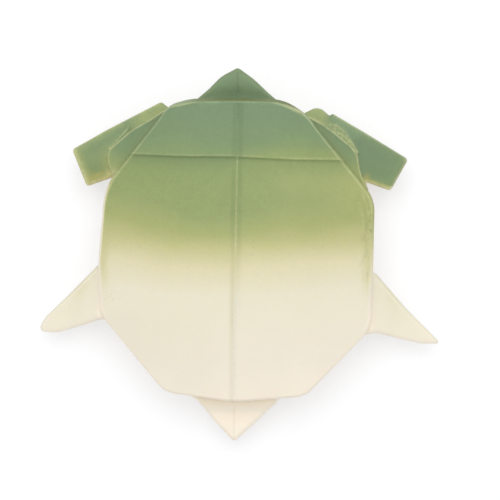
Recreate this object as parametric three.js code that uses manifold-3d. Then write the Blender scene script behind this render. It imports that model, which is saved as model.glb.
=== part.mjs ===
// Turtle teether cast in soft natural rubber, in the shape of a turtle folded from paper.
// A hollow body, the carapace over the plastron, carries six solid tabs: the head, the tail and
// four flippers. Each tab bends at a rounded root that sits in a groove along the body's flank.
// Millimetres, +Z up, +Y towards the head. The origin is under the middle of the turtle, on the
// surface that the belly rests on.

import * as THREE from "three";
import { mergeVertices } from "three/addons/utils/BufferGeometryUtils.js";
import Module from "manifold-3d";

const wasm = await Module();
wasm.setup();

// Outline of the carapace, an eight-sided sheet with soft corners
const SHELL_LENGTH = 82.4;
const SHELL_WIDTH = 76.2; // at the waist
const FRONT_EDGE = 33;
const SHOULDER_TUCK = 1.6; // shoulder corners, in from the widest place
const HIP_TUCK = 0.7; // hip corners, in from the widest place
const REAR_EDGE = 39;
const SHOULDER_SETBACK = 24.8; // shoulder corners, behind the front edge
const WAIST_SETBACK = 45; // widest place, behind the front edge
const HIP_SETBACK = 21.9; // hip corners, ahead of the rear edge
const FRONT_BOW = 0.5;
const REAR_BOW = 2;
const FRONT_RADIUS = 8;
const SHOULDER_RADIUS = 7;
const WAIST_RADIUS = 30;
const HIP_RADIUS = 9;
const REAR_RADIUS = 7;

// Heights and walls of the hollow body
const RIM_HEIGHT = 14; // underside of the carapace's rim, where the mould parts
const RIM_DEPTH = 3.2; // rim at the crease
const CREASE_FALL = 1.2; // from the crease out to the sides
const CROWN_RISE = 9.8;
const RUBBER_WALL = 2.6;
const RIM_OVERHANG = 4.5; // rim past the flank of the plastron
const RIM_ROUND = 0.7;
const RIM_FLARE = 0.6; // lower edge of the rim past its upper edge
const PLEAT_SETBACK = 15; // pleat across the carapace, behind the front edge
const PLEAT_STEP = 0.8;
const BELLY_HEIGHT = 5; // where the flank turns in to the belly
const BELLY_INSET = 6;
const SEAM_GAP = 0.3;

// Plug in the casting hole of the belly
const PLUG_RADIUS = 4.5;
const PLUG_FLANGE = 1.8; // flange past the stem
const PLUG_FLANGE_DEPTH = 1.5;
const PLUG_RECESS = 0.4;
const PLUG_GAP = 0.3;
const PLUG_SIDES = 32;

// Roots of the tabs
const ROOT_HEIGHT = 9;
const ROOT_RADIUS = 2.8;
const ROOT_GAP = 0.3;
const GROOVE_DEPTH = 1.4; // groove in the flank that a root sits in
const GROOVE_SIDES = 32;
const ROOT_STEP = 0.1; // length in which a root ends

// Head and tail, pointed tabs with a crease down the middle
const HEAD_REACH = 9.7; // past the front edge of the carapace
const HEAD_WIDTH = 23;
const HEAD_EDGE = 3.4; // thickness at the free edge
const HEAD_FOLD = 2.2; // height of the valley across the head, over the root's middle
const HEAD_RISE = 2; // middle of the tip over the root's middle
const TAIL_REACH = 11.3; // past the rear edge of the carapace
const TAIL_WIDTH = 22;
const TAIL_EDGE = 3.2;
const TAIL_FOLD = 3.2;
const TAIL_RISE = 1;
const TAIL_DROOP = 9; // degrees
const TIP_RADIUS = 1;
const TIP_FOLD_SHARE = 0.4; // where the fold lies, from the root out to the free edge

// Front flippers, blades with a square end that run along the shoulder edge of the carapace
const BLADE_LENGTH = 28.5;
const BLADE_END = 9.3;
const BLADE_SPLAY = 21.5; // degrees between the leading edge and the shoulder edge
const BLADE_END_ANGLE = 87.8; // degrees between the leading edge and the square end
const BLADE_EDGE = 3.6; // thickness at the leading edge
const BLADE_LIFT = 1.8; // middle of the blade over the root's middle
const BLADE_SETBACK = 3.3; // start of the leading edge, behind the front corner
const BLADE_STANDOFF = 3.2; // start of the leading edge, outside the shoulder edge
const BLADE_DROOP = 6; // degrees
const BLADE_ROOT = 23.5; // length of the root
const FOLD_WIDTH = 5.4; // widest part of the folded panel beside the shoulder edge
const FOLD_RISE = 0.9; // height of the fold over the blade's top

// Rear flippers, pointed blades swept to the rear
const FIN_BASE = 16.2;
const FIN_REACH = 18;
const FIN_SWEEP = 9.8; // tip, behind the middle of the base
const FIN_EDGE = 3;
const FIN_BOW = 0.6; // bow of the trailing edge
const FIN_SETBACK = 6.6; // middle of the base, ahead of the hip corner
const FIN_DROOP = 8; // degrees

// Colours of the painted rubber
const LEAF_GREEN = 0x82946b;
const MOSS_GREEN = 0x9da874;
const RAW_CREAM = 0xece4d0;

const ARC_STEPS = 5;
const LEAST_RADIUS = 0.5;
const ROUND_STEPS = 4;
const FRONT = SHELL_LENGTH / 2;
const SIDE = SHELL_WIDTH / 2;

// Distances from the line on which a tab bends, in to the flank and out to the carapace's edge
const FLANK_REACH = ROOT_RADIUS + ROOT_GAP - GROOVE_DEPTH;
const EDGE_REACH = RIM_OVERHANG - FLANK_REACH;

const degrees = THREE.MathUtils.degToRad;
const mix = THREE.MathUtils.lerp;

function solidOf(geometry) {
  const bare = geometry.clone();
  bare.deleteAttribute("normal");
  bare.deleteAttribute("uv");
  const merged = mergeVertices(bare, 1e-4);
  const mesh = new wasm.Mesh({
    numProp: 3,
    vertProperties: new Float32Array(merged.getAttribute("position").array),
    triVerts: new Uint32Array(merged.index.array),
  });
  return new wasm.Manifold(mesh);
}

function geometryOf(solid) {
  const mesh = solid.getMesh();
  const geometry = new THREE.BufferGeometry();
  geometry.setAttribute("position", new THREE.BufferAttribute(mesh.vertProperties, 3));
  geometry.setIndex(new THREE.BufferAttribute(mesh.triVerts, 1));
  geometry.computeVertexNormals();
  return geometry;
}

// Skin over a row of rings with as many points each, closed at both ends on the points given
function loft(rings, startPoint, endPoint) {
  const count = rings[0].length;
  const points = [...rings.flat(), startPoint, endPoint];
  const start = points.length - 2;
  const end = points.length - 1;
  const faces = [];
  for (let i = 0; i < count; i += 1) {
    const next = (i + 1) % count;
    for (let ring = 0; ring + 1 < rings.length; ring += 1) {
      const low = ring * count;
      const high = low + count;
      faces.push(low + i, low + next, high + next);
      faces.push(low + i, high + next, high + i);
    }
    const last = (rings.length - 1) * count;
    faces.push(start, next, i);
    faces.push(end, last + i, last + next);
  }
  const geometry = new THREE.BufferGeometry().setFromPoints(points);
  geometry.setIndex(faces);
  geometry.computeVertexNormals();
  return geometry;
}

function middleOf(ring) {
  const sum = ring.reduce((total, point) => total.add(point), new THREE.Vector3());
  return sum.divideScalar(ring.length);
}

// Right-hand corners of the carapace's outline
const CORNERS = {
  front: { x: FRONT_EDGE / 2, y: FRONT - FRONT_BOW, radius: FRONT_RADIUS },
  shoulder: { x: SIDE - SHOULDER_TUCK, y: FRONT - SHOULDER_SETBACK, radius: SHOULDER_RADIUS },
  waist: { x: SIDE, y: FRONT - WAIST_SETBACK, radius: WAIST_RADIUS },
  hip: { x: SIDE - HIP_TUCK, y: HIP_SETBACK - FRONT, radius: HIP_RADIUS },
  rear: { x: REAR_EDGE / 2, y: REAR_BOW - FRONT, radius: REAR_RADIUS },
};

// All corners, anticlockwise from the middle of the front edge
function shellCorners() {
  const right = Object.values(CORNERS);
  const left = right.map((corner) => ({ ...corner, x: -corner.x }));
  const frontMiddle = { x: 0, y: FRONT, radius: 0 };
  const rearMiddle = { x: 0, y: -FRONT, radius: 0 };
  return [frontMiddle, ...left, rearMiddle, ...right.reverse()];
}

// Direction in which the outline comes to a corner, and the angle that it turns there
function turnAt(corners, i) {
  const corner = corners[i];
  const last = corners.at(i - 1);
  const next = corners[(i + 1) % corners.length];
  const before = new THREE.Vector2(corner.x - last.x, corner.y - last.y).normalize();
  const after = new THREE.Vector2(next.x - corner.x, next.y - corner.y).normalize();
  return { before, turn: Math.atan2(before.cross(after), before.dot(after)) };
}

// The same corners with every edge moved in by a distance
function insetCorners(corners, distance) {
  return corners.map((corner, i) => {
    const { before, turn } = turnAt(corners, i);
    const slide = distance * Math.tan(turn / 2);
    return {
      x: corner.x - before.y * distance - before.x * slide,
      y: corner.y + before.x * distance - before.y * slide,
      radius: corner.radius === 0 ? 0 : Math.max(corner.radius - distance, LEAST_RADIUS),
    };
  });
}

// Points of an outline whose corners are turned into arcs
function outlineOf(corners) {
  return corners.flatMap((corner, i) => {
    if (corner.radius === 0) {
      return [new THREE.Vector2(corner.x, corner.y)];
    }
    const { before, turn } = turnAt(corners, i);
    const reach = corner.radius * Math.tan(turn / 2);
    const centreX = corner.x - before.x * reach - before.y * corner.radius;
    const centreY = corner.y - before.y * reach + before.x * corner.radius;
    const startAngle = Math.atan2(-before.x, before.y);
    const arc = new THREE.EllipseCurve(
      centreX, centreY, corner.radius, corner.radius, startAngle, startAngle + turn,
    );
    return arc.getPoints(ARC_STEPS);
  });
}

// A ring of the shell's outline, moved in by a distance, at heights given by a function of its points
function shellRing(distance, heightAt) {
  const outline = outlineOf(insetCorners(shellCorners(), distance));
  return outline.map((point) => new THREE.Vector3(point.x, point.y, heightAt(point)));
}

function edgeHeight(x) {
  return RIM_HEIGHT + RIM_DEPTH - (CREASE_FALL * Math.abs(x)) / SIDE;
}

// Rings that shrink to the middle of the shell under its crown, and the point at which they end
function crownRings(distance, drop) {
  const outline = outlineOf(insetCorners(shellCorners(), distance));
  const outerShare = 1 - distance / SIDE;
  const crownHeight = (x, share) => edgeHeight(x) + CROWN_RISE * (1 - share ** 2) - drop;
  const rings = [1, 0.92, 0.82, 0.68, 0.52, 0.34, 0.16].map((scale) =>
    outline.map((point) => {
      const x = point.x * scale;
      return new THREE.Vector3(x, point.y * scale, crownHeight(x, outerShare * scale));
    }),
  );
  return { rings, top: new THREE.Vector3(0, 0, crownHeight(0, 0)) };
}

function carapaceGeometry() {
  const soft = RIM_ROUND * (1 - Math.SQRT1_2);
  const crown = crownRings(RIM_FLARE + RIM_ROUND, 0);
  const rings = [
    shellRing(RIM_ROUND, () => RIM_HEIGHT),
    shellRing(soft, () => RIM_HEIGHT + soft),
    shellRing(0, () => RIM_HEIGHT + RIM_ROUND),
    shellRing(RIM_FLARE, (point) => edgeHeight(point.x) - RIM_ROUND),
    shellRing(RIM_FLARE + soft, (point) => edgeHeight(point.x) - soft),
    ...crown.rings,
  ];
  const skin = loft(rings, middleOf(rings[0]), crown.top);

  // The front panel lies one ply higher, up to the pleat
  const frontBlock = new THREE.BoxGeometry(2 * SHELL_WIDTH, SHELL_LENGTH, SHELL_LENGTH);
  frontBlock.translate(0, FRONT - PLEAT_SETBACK + SHELL_LENGTH / 2, RIM_HEIGHT);
  const frontPly = solidOf(skin.clone().translate(0, 0, PLEAT_STEP)).intersect(solidOf(frontBlock));

  const hollowInset = RIM_OVERHANG + RUBBER_WALL;
  const hollowCrown = crownRings(hollowInset, RUBBER_WALL);
  const mouth = shellRing(hollowInset, () => RIM_HEIGHT - RUBBER_WALL);
  const hollow = loft([mouth, ...hollowCrown.rings], middleOf(mouth), hollowCrown.top);
  return geometryOf(solidOf(skin).add(frontPly).subtract(solidOf(hollow)));
}

// Rings of the lower body from its flat belly up the flank, with a wall's thickness taken off
function bellyRings(wall, topHeight) {
  const rings = [];
  for (let step = 0; step <= ROUND_STEPS; step += 1) {
    const angle = (step / ROUND_STEPS) * (Math.PI / 2);
    const inset = RIM_OVERHANG + wall + BELLY_INSET * (1 - Math.sin(angle));
    const height = wall + BELLY_HEIGHT * (1 - Math.cos(angle));
    rings.push(shellRing(inset, () => height));
  }
  rings.push(shellRing(RIM_OVERHANG + wall, () => topHeight));
  return rings;
}

// Where a tab's root lies: under an edge of the carapace, from one place along it to another
function seatUnder(edgePoint, heading, rootStart, rootEnd) {
  const outward = new THREE.Vector2(-Math.sin(heading), Math.cos(heading));
  const middle = edgePoint.clone().addScaledVector(outward, -EDGE_REACH);
  return { middle, heading, rootStart, rootEnd };
}

function mirroredSeat({ middle, heading, rootStart, rootEnd }) {
  const mirrored = new THREE.Vector2(-middle.x, middle.y);
  return { middle: mirrored, heading: -heading, rootStart: -rootEnd, rootEnd: -rootStart };
}

// What a root takes out of the flank, with a gap all round
function grooveGeometry({ middle, heading, rootStart, rootEnd }) {
  const radius = ROOT_RADIUS + ROOT_GAP;
  const length = rootEnd - rootStart + 2 * ROOT_GAP;
  const groove = new THREE.CylinderGeometry(radius, radius, length, GROOVE_SIDES);
  groove.rotateZ(Math.PI / 2).translate((rootStart + rootEnd) / 2, 0, 0);
  return groove.rotateZ(heading).translate(middle.x, middle.y, ROOT_HEIGHT);
}

function plastronGeometry(seats) {
  const outer = bellyRings(0, RIM_HEIGHT - SEAM_GAP);
  const inner = bellyRings(RUBBER_WALL, RIM_HEIGHT + RUBBER_WALL);
  const skin = loft(outer, middleOf(outer[0]), middleOf(outer.at(-1)));
  const hollow = loft(inner, middleOf(inner[0]), middleOf(inner.at(-1)));
  const hole = new THREE.CylinderGeometry(PLUG_RADIUS, PLUG_RADIUS, 4 * RUBBER_WALL, PLUG_SIDES);
  hole.rotateX(Math.PI / 2);
  const cup = solidOf(skin).subtract(solidOf(hollow)).subtract(solidOf(hole));
  const grooves = seats.map((seat) => solidOf(grooveGeometry(seat)));
  return geometryOf(grooves.reduce((rest, groove) => rest.subtract(groove), cup));
}

function plugGeometry() {
  const stem = PLUG_RADIUS - PLUG_GAP;
  const flange = PLUG_RADIUS + PLUG_FLANGE;
  const seat = RUBBER_WALL + PLUG_GAP;
  const profile = [
    new THREE.Vector2(0, PLUG_RECESS),
    new THREE.Vector2(stem, PLUG_RECESS),
    new THREE.Vector2(stem, seat),
    new THREE.Vector2(flange, seat),
    new THREE.Vector2(flange, seat + PLUG_FLANGE_DEPTH),
    new THREE.Vector2(0, seat + PLUG_FLANGE_DEPTH),
  ];
  return new THREE.LatheGeometry(profile, PLUG_SIDES).rotateX(Math.PI / 2);
}

// Section of a tab on the upright plane through two points of its plan. Each end is round, and the
// top has a fold between them. A root is centred on the inner point, and a free edge ends there.
function tabSection({ inner, outer, root, fold }) {
  const along = outer.place.clone().sub(inner.place);
  const innerCentre = root ? 0 : inner.radius;
  const outerCentre = along.length() - outer.radius;
  along.normalize();
  const arcPoint = (centre, end, angle) => ({
    reach: centre + end.radius * Math.cos(angle),
    height: end.height + end.radius * Math.sin(angle),
  });
  const section = [];
  for (let step = 0; step <= ROUND_STEPS; step += 1) {
    section.push(arcPoint(outerCentre, outer, Math.PI * (step / ROUND_STEPS - 0.5)));
  }
  section.push({ reach: mix(innerCentre, outerCentre, fold.share), height: fold.height });
  for (let step = 0; step <= ROUND_STEPS; step += 1) {
    section.push(arcPoint(innerCentre, inner, Math.PI * (step / ROUND_STEPS + 0.5)));
  }
  return section.map(({ reach, height }) => {
    const place = inner.place.clone().addScaledVector(along, reach);
    return new THREE.Vector3(place.x, place.y, height);
  });
}

function tabGeometry(stations) {
  const rings = stations.map(tabSection);
  return loft(rings, middleOf(rings[0]), middleOf(rings.at(-1)));
}

// A place along a tab's root, which runs on the local X axis
function rootAt(x) {
  return { place: new THREE.Vector2(x, 0), radius: ROOT_RADIUS, height: 0 };
}

// Where the root ends and the edge behind it comes free of the flank
function freeOfFlank(x, radius, height) {
  return { place: new THREE.Vector2(x, ROOT_GAP - FLANK_REACH), radius, height };
}

// Head and tail: the outline comes to a soft point, and a crease runs to it
function pointedTabGeometry({ reach, width, edge, fold, rise }) {
  const half = width / 2;
  const slope = reach / (half - TIP_RADIUS);
  const stations = [-1, -0.8, -0.55, -0.3, -0.12, 0, 0.12, 0.3, 0.55, 0.8, 1].map((share) => {
    const x = half * share;
    const out = reach - slope * (Math.hypot(x, TIP_RADIUS) - TIP_RADIUS);
    const ridge = 1 - Math.abs(share);
    const place = new THREE.Vector2(x, EDGE_REACH + out);
    return {
      inner: rootAt(x),
      outer: { place, radius: edge / 2, height: rise * ridge },
      root: true,
      fold: { share: TIP_FOLD_SHARE, height: mix(edge / 2, fold, ridge) },
    };
  });
  return tabGeometry(stations);
}

function frontFlipperGeometry({ rootStart, rootEnd }) {
  const edge = BLADE_EDGE / 2;
  const splay = degrees(BLADE_SPLAY);
  const endTurn = splay - degrees(BLADE_END_ANGLE);
  const leading = new THREE.Vector2(Math.cos(splay), Math.sin(splay));
  const ending = new THREE.Vector2(Math.cos(endTurn), Math.sin(endTurn));
  const start = new THREE.Vector2(rootStart, EDGE_REACH + BLADE_STANDOFF);
  const tip = start.clone().addScaledVector(leading, BLADE_LENGTH);
  const heel = tip.clone().addScaledVector(ending, BLADE_END);
  const blade = (place, radius) => ({ place, radius, height: BLADE_LIFT });

  // Shares of the root, of the leading edge, of the folded panel's width and of the blade's lift
  const rootStations = [
    [0, 0, 0.2, 0.3],
    [0.18, 0.14, 0.42, 0.65],
    [0.38, 0.31, 0.68, 0.9],
    [0.56, 0.47, 0.92, 1],
    [0.7, 0.6, 1, 1],
    [0.82, 0.72, 0.84, 1],
    [0.92, 0.82, 0.52, 1],
    [1, 0.9, 0.2, 1],
  ].map(([rootShare, leadShare, panelShare, liftShare]) => {
    const inner = rootAt(mix(rootStart, rootEnd, rootShare));
    const place = start.clone().addScaledVector(leading, BLADE_LENGTH * leadShare);
    const outer = { place, radius: edge, height: BLADE_LIFT * liftShare };
    const panel = EDGE_REACH + FOLD_WIDTH * panelShare;
    const share = Math.min(panel / (place.distanceTo(inner.place) - edge), 0.95);
    const height = Math.max(outer.height + edge + FOLD_RISE * panelShare, ROOT_RADIUS);
    return { inner, outer, root: true, fold: { share, height } };
  });

  // Past the root the blade is free on both edges, up to its square end
  const lastRoot = rootStations.at(-1);
  const rootStep = {
    ...lastRoot,
    inner: freeOfFlank(rootEnd + ROOT_STEP, edge, BLADE_LIFT / 2),
    root: false,
  };
  const bladeStations = [
    { trailShare: 0.3, leadShare: 0.95, radius: edge },
    { trailShare: 0.92, leadShare: 0.98, radius: edge },
    { trailShare: 1, leadShare: 1, radius: edge / 2 },
  ].map(({ trailShare, leadShare, radius }) => ({
    inner: blade(new THREE.Vector2(rootEnd, 0).lerp(heel, trailShare), radius),
    outer: blade(start.clone().lerp(tip, leadShare), radius),
    root: false,
    fold: { share: 0.2, height: BLADE_LIFT + radius },
  }));
  return tabGeometry([...rootStations, rootStep, ...bladeStations]);
}

function rearFlipperGeometry({ rootStart, rootEnd }) {
  const half = FIN_BASE / 2;
  const edge = FIN_EDGE / 2;
  const base = new THREE.Vector2(-half, EDGE_REACH);
  const heel = new THREE.Vector2(half, EDGE_REACH);
  const tip = new THREE.Vector2(FIN_SWEEP, EDGE_REACH + FIN_REACH);
  const free = (place) => ({ place, radius: edge, height: 0 });
  const trailingAt = (share) => {
    const point = heel.clone().lerp(tip, share);
    point.x += FIN_BOW * 4 * share * (1 - share);
    return point;
  };

  // Shares of the root and of the leading edge, then of the trailing and the leading edge
  const rootStations = [
    [0, 0],
    [0.3, 0.28],
    [0.65, 0.52],
    [1, 0.72],
  ].map(([rootShare, leadShare]) => ({
    inner: rootAt(mix(rootStart, rootEnd, rootShare)),
    outer: free(base.clone().lerp(tip, leadShare)),
    root: true,
    fold: { share: 0.5, height: mix(ROOT_RADIUS, edge, 0.5) },
  }));
  const lastRoot = rootStations.at(-1);
  const rootStep = {
    ...lastRoot,
    inner: freeOfFlank(rootEnd + ROOT_STEP, edge, 0),
    root: false,
  };
  const freeStations = [
    [0.06, 0.82],
    [0.4, 0.9],
    [0.7, 0.96],
    [0.88, 1],
  ].map(([trailShare, leadShare]) => ({
    inner: free(trailingAt(trailShare)),
    outer: free(base.clone().lerp(tip, leadShare)),
    root: false,
    fold: { share: 0.5, height: edge },
  }));
  return tabGeometry([...rootStations, rootStep, ...freeStations]);
}

// A piece of painted rubber
function rubberPiece(name, geometry, color) {
  const material = new THREE.MeshStandardMaterial({ color, roughness: 0.62, metalness: 0 });
  const piece = new THREE.Mesh(geometry, material);
  piece.name = name;
  return piece;
}

// A tab on its seat, drooping from its root
function seatedTab(piece, seat, droop) {
  const tab = new THREE.Group();
  tab.position.set(seat.middle.x, seat.middle.y, ROOT_HEIGHT);
  tab.rotation.z = seat.heading;
  piece.rotation.x = -degrees(droop);
  tab.add(piece);
  return tab;
}

// An edge of the carapace from one corner to the next, clockwise, as a direction and a length
function edgeFrom(corner, next) {
  const span = new THREE.Vector2(next.x - corner.x, next.y - corner.y);
  return { along: span.clone().normalize(), heading: span.angle(), length: span.length() };
}

const headSeat = seatUnder(new THREE.Vector2(0, FRONT), 0, -HEAD_WIDTH / 2, HEAD_WIDTH / 2);
const tailSeat = seatUnder(new THREE.Vector2(0, -FRONT), Math.PI, -TAIL_WIDTH / 2, TAIL_WIDTH / 2);

const shoulderEdge = edgeFrom(CORNERS.front, CORNERS.shoulder);
const shoulderMiddle = new THREE.Vector2(CORNERS.front.x, CORNERS.front.y);
shoulderMiddle.addScaledVector(shoulderEdge.along, shoulderEdge.length / 2);
const bladeStart = BLADE_SETBACK - shoulderEdge.length / 2;
const bladeSeat = seatUnder(
  shoulderMiddle, shoulderEdge.heading, bladeStart, bladeStart + BLADE_ROOT,
);

// A fin's root ends where the outline begins to turn round the hip
const hipEdge = edgeFrom(CORNERS.waist, CORNERS.hip);
const finMiddle = new THREE.Vector2(CORNERS.hip.x, CORNERS.hip.y);
finMiddle.addScaledVector(hipEdge.along, -FIN_SETBACK);
const hipTurn = hipEdge.heading - edgeFrom(CORNERS.hip, CORNERS.rear).heading;
const finRootEnd = FIN_SETBACK - HIP_RADIUS * Math.tan(hipTurn / 2);
const finSeat = seatUnder(finMiddle, hipEdge.heading, -FIN_BASE / 2, finRootEnd);

const rightSeats = [bladeSeat, finSeat];
const seats = [headSeat, tailSeat, ...rightSeats, ...rightSeats.map(mirroredSeat)];

const turtle = new THREE.Group();
turtle.position.y = (TAIL_REACH - HEAD_REACH) / 2;
turtle.add(rubberPiece("carapace", carapaceGeometry(), MOSS_GREEN));
turtle.add(rubberPiece("plastron", plastronGeometry(seats), RAW_CREAM));
turtle.add(rubberPiece("casting_plug", plugGeometry(), RAW_CREAM));

const headShape = pointedTabGeometry({
  reach: HEAD_REACH,
  width: HEAD_WIDTH,
  edge: HEAD_EDGE,
  fold: HEAD_FOLD,
  rise: HEAD_RISE,
});
turtle.add(seatedTab(rubberPiece("head", headShape, LEAF_GREEN), headSeat, 0));
const tailShape = pointedTabGeometry({
  reach: TAIL_REACH,
  width: TAIL_WIDTH,
  edge: TAIL_EDGE,
  fold: TAIL_FOLD,
  rise: TAIL_RISE,
});
turtle.add(seatedTab(rubberPiece("tail", tailShape, RAW_CREAM), tailSeat, TAIL_DROOP));

// The left flippers are mirror images of the right ones
for (const [side, mirror] of [["left", -1], ["right", 1]]) {
  const half = new THREE.Group();
  half.scale.x = mirror;
  const blade = rubberPiece(`front_${side}_flipper`, frontFlipperGeometry(bladeSeat), LEAF_GREEN);
  half.add(seatedTab(blade, bladeSeat, BLADE_DROOP));
  const fin = rubberPiece(`rear_${side}_flipper`, rearFlipperGeometry(finSeat), RAW_CREAM);
  half.add(seatedTab(fin, finSeat, FIN_DROOP));
  turtle.add(half);
}

export default turtle;
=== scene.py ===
import math

import bpy
import numpy as np
from mathutils import Matrix, Vector, noise
from mathutils.geometry import delaunay_2d_cdt


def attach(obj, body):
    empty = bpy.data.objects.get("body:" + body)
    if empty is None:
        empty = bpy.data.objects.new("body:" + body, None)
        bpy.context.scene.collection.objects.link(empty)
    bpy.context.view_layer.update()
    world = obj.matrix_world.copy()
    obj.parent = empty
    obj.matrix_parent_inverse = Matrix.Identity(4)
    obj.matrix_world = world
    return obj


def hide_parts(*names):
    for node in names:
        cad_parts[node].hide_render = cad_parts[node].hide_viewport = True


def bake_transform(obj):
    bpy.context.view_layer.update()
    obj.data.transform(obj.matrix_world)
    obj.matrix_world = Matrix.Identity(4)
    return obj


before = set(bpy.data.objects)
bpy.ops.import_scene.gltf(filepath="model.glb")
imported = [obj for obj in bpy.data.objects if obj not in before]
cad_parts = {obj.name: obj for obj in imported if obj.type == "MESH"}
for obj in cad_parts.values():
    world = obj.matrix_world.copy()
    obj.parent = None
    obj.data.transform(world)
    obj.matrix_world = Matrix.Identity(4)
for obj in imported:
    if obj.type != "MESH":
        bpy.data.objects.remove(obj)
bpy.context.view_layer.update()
scene = bpy.context.scene

# Plastron: the lower half of the hollow casting, raw cream rubber with a flat belly.
# It is poured in one mould with the shell, and the round hole in its belly drains the casting.

SHELL_CORNERS = [  # plan of the shell in mm, anticlockwise from the front: x, y, radius
    (0, 43.2, 60),
    (-13, 42.9, 18),
    (-18.7, 41.2, 7),
    (-36.4, 18.5, 18),
    (-37.9, -3, 30),
    (-36.9, -17.0, 9),
    (-19.0, -38.0, 7),
    (0, -40.4, 40),
    (19.8, -38.5, 7),
    (37.3, -19.8, 9),
    (37.9, -3, 30),
    (38.0, 16.2, 10),
    (18.9, 39.2, 20),
    (12.4, 43.1, 13),
]
MIDDLE = np.array([0.0, 0.8])
SHELL_STEP = 0.5  # between points on the shell's outline, in mm
FLANK_SCALE = 0.885  # plan of the flank, next to the shell's
FLANK_TOP = 13.9
BELLY_SCALE = 0.82  # flat part of the belly, next to the flank's plan
BELLY_ROUND = 5.0  # radius between belly and flank
BELLY_RING = 0.45  # ring of points on the flat belly, next to the flank's plan
TOP_RING = 0.8  # the same on the flank's top
FLANK_ROWS = (7, 9, 11, 13, FLANK_TOP)  # heights of the points on the flank
HOLE_RADIUS = 4.5
HOLE_DEPTH = 3.0
HOLE_PROFILE = [  # radius, height
    (0.6, HOLE_DEPTH),
    (HOLE_RADIUS, HOLE_DEPTH),
    (HOLE_RADIUS, 0.4),
    (HOLE_RADIUS + 0.15, 0.1),
    (HOLE_RADIUS + 0.5, 0),
]
RAW = 1.1  # rubber that was never sprayed
MM = 0.001  # one millimetre in metres


def resampled(line, step, closed):
    """The same line with a point at every step."""
    if closed:
        line = np.vstack([line, line[:1]])
    lengths = np.r_[0, np.cumsum(np.linalg.norm(np.diff(line, axis=0), axis=1))]
    count = max(2, round(lengths[-1] / step))
    places = np.linspace(0, lengths[-1], count, endpoint=not closed)
    return np.column_stack([np.interp(places, lengths, column) for column in line.T])


def rounded(corners, step):
    """Closed outline whose corners (x, y, radius) are turned into arcs."""
    places = np.array([corner[:2] for corner in corners], float)
    points = []
    for i, (_, _, radius) in enumerate(corners):
        before = places[i] - places[i - 1]
        after = places[(i + 1) % len(places)] - places[i]
        before /= np.linalg.norm(before)
        after /= np.linalg.norm(after)
        turn = math.atan2(before[0] * after[1] - before[1] * after[0], before @ after)
        start = places[i] - before * radius * math.tan(abs(turn) / 2)
        inward = math.copysign(radius, turn) * np.array([-before[1], before[0]])
        for angle in np.linspace(0, turn, 9):
            cos, sin = math.cos(angle), math.sin(angle)
            spoke = np.array([[cos, -sin], [sin, cos]]) @ -inward
            points.append(start + inward + spoke)
    return resampled(np.array(points), step, closed=True)


def made_mesh(name, points, faces, attributes):
    """An object from points in mm, with a number per point for every attribute."""
    mesh = bpy.data.meshes.new(name)
    mesh.from_pydata((np.asarray(points) * MM).tolist(), [], np.asarray(faces).tolist())
    mesh.shade_smooth()
    for label, values in attributes.items():
        layer = mesh.attributes.new(label, "FLOAT", "POINT")
        layer.data.foreach_set("value", np.asarray(values, np.float32))
    piece = bpy.data.objects.new(name, mesh)
    scene.collection.objects.link(piece)
    return piece


def loft(rings):
    """Points and faces of a skin over rings with as many points each, closed at both ends."""
    count = len(rings[0])
    points = np.vstack([*rings, rings[0].mean(axis=0), rings[-1].mean(axis=0)])
    start, end = len(points) - 2, len(points) - 1
    this = np.arange(count)
    following = (this + 1) % count
    last = (len(rings) - 1) * count
    faces = [
        np.column_stack([np.full(count, start), following, this]),
        np.column_stack([np.full(count, end), last + this, last + following]),
    ]
    for low in range(0, last, count):
        high = low + count
        faces.append(np.column_stack([low + this, low + following, high + following]))
        faces.append(np.column_stack([low + this, high + following, high + this]))
    return points, np.vstack(faces)


def at_height(plan, height):
    """The points of a plan, all at one height."""
    return np.column_stack([plan, np.full(len(plan), float(height))])


class Socket:
    """A node's output that takes arithmetic with numbers and with other outputs."""

    def __init__(self, tree, output):
        self.tree = tree
        self.output = output

    def node(self, kind, inputs, out=0, stops=None, **settings):
        """The output of any other node in the same tree. A ramp's stops are (place, colour)."""
        made = self.tree.nodes.new(kind)
        for key, value in settings.items():
            setattr(made, key, value)
        if stops:
            ramp = made.color_ramp.elements
            ramp.remove(ramp[1])
            ramp[0].position, ramp[0].color = stops[0]
            for at, colour in stops[1:]:
                ramp.new(at).color = colour
        for key, value in inputs.items():
            if isinstance(value, Socket):
                self.tree.links.new(value.output, made.inputs[key])
            else:
                made.inputs[key].default_value = value
        return Socket(self.tree, made.outputs[out])

    def math(self, operation, other=0.0, swap=False, clamp=False):
        """This output and another value, through a Math node."""
        first, second = (other, self) if swap else (self, other)
        inputs = {0: first, 1: second}
        return self.node("ShaderNodeMath", inputs, operation=operation, use_clamp=clamp)

    def __add__(self, other):
        return self.math("ADD", other)

    def __radd__(self, other):
        return self.math("ADD", other)

    def __sub__(self, other):
        return self.math("SUBTRACT", other)

    def __rsub__(self, other):
        return self.math("SUBTRACT", other, swap=True)

    def __mul__(self, other):
        return self.math("MULTIPLY", other)

    def __rmul__(self, other):
        return self.math("MULTIPLY", other)

    def __truediv__(self, other):
        return self.math("DIVIDE", other)

    def __rtruediv__(self, other):
        return self.math("DIVIDE", other, swap=True)

    def clamped(self):
        """This number kept between 0 and 1."""
        return self.math("ADD", 0.0, clamp=True)

    def noise(self, scale, detail):
        """Noise over this vector, as a number about zero from -1 to 1."""
        inputs = {"Vector": self, "Scale": scale, "Detail": detail}
        return self.node("ShaderNodeTexNoise", inputs) * 2.0 - 1.0

    def mix(self, share, other):
        """This colour blended into another one by a share from 0 to 1."""
        inputs = {0: share, 6: self, 7: other}
        return self.node("ShaderNodeMix", inputs, out=2, data_type="RGBA")


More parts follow.
